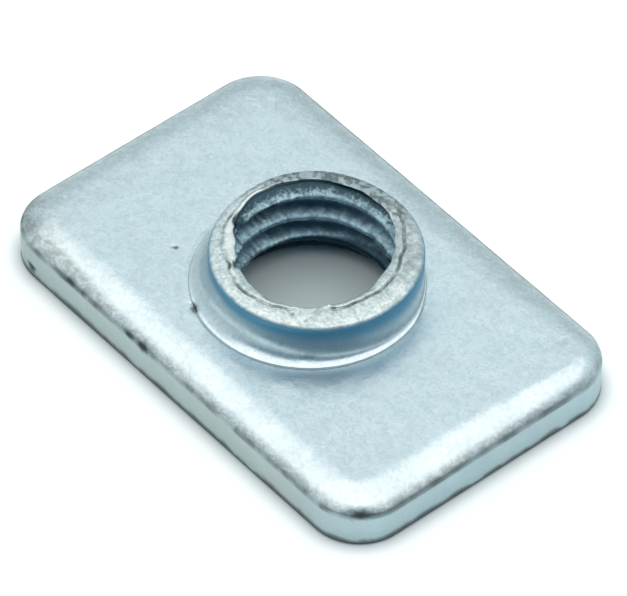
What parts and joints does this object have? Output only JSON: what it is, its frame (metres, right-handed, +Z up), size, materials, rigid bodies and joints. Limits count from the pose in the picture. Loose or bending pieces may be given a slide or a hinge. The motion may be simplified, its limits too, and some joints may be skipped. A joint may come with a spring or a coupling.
{
  "type": "t slot nut",
  "caption": "Stamped plate nut for a T slot: a rounded rectangular steel plate with rolled top edges, its middle drawn up into a short threaded collar.",
  "frame": {"origin": "middle of the plate's underside", "axes": "+X along the plate's long side, +Y across the plate, +Z up the collar, along the thread"},
  "size_m": [0.0226, 0.0144, 0.0041],
  "materials": {
    "zinc_steel": "bright zinc plate, satin, scuffed at the edges"
  },
  "bodies": {
    "root": {"slot_nut": "zinc_steel"}
  },
  "joints": []
}
